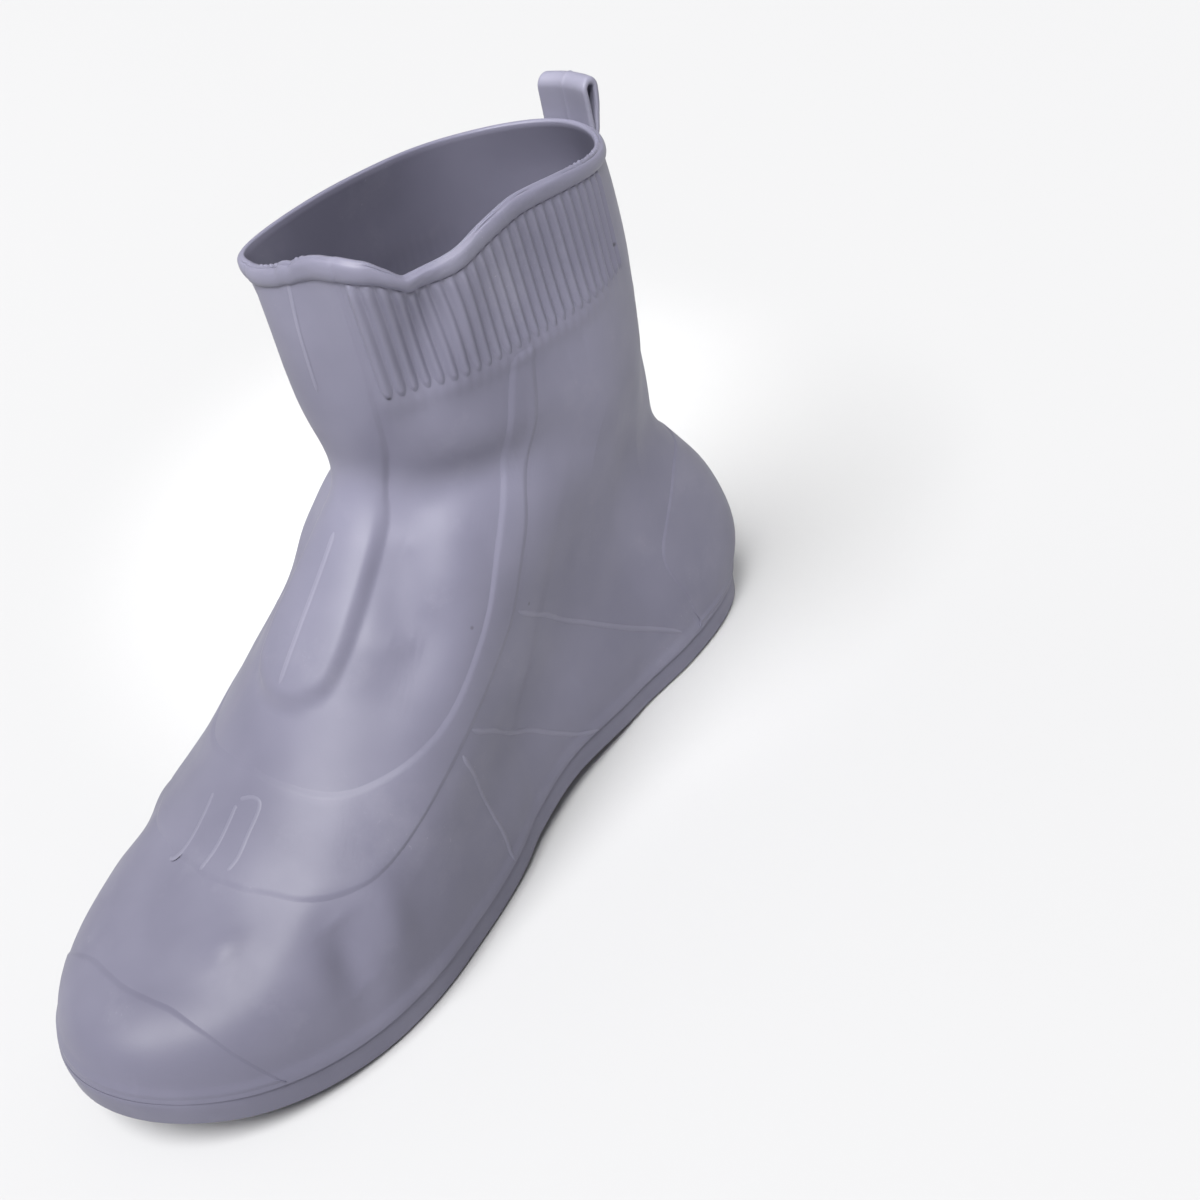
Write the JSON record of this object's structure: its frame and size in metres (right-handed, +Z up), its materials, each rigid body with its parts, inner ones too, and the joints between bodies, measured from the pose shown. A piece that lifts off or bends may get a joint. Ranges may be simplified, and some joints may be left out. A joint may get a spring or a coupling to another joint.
{
  "type": "rubber overshoe",
  "caption": "Moulded mid-height rubber overshoe for the right foot, with a ribbed cuff, a strap band over the vamp, a studded outsole and a pull loop at the heel.",
  "frame": {"origin": "on the floor, under the middle of the whole shoe's bounding box", "axes": "+Z up, toe towards -Y, heel towards +Y, medial (inner) side towards +X"},
  "size_m": [0.1148, 0.3004, 0.2025],
  "materials": {
    "upper": "satin lilac-grey moulded rubber",
    "outsole": "satin lilac-grey moulded rubber",
    "pull_loop": "satin lilac-grey moulded rubber"
  },
  "bodies": {
    "root": {"upper": "upper", "outsole": "outsole", "pull_loop": "pull_loop"}
  },
  "joints": []
}
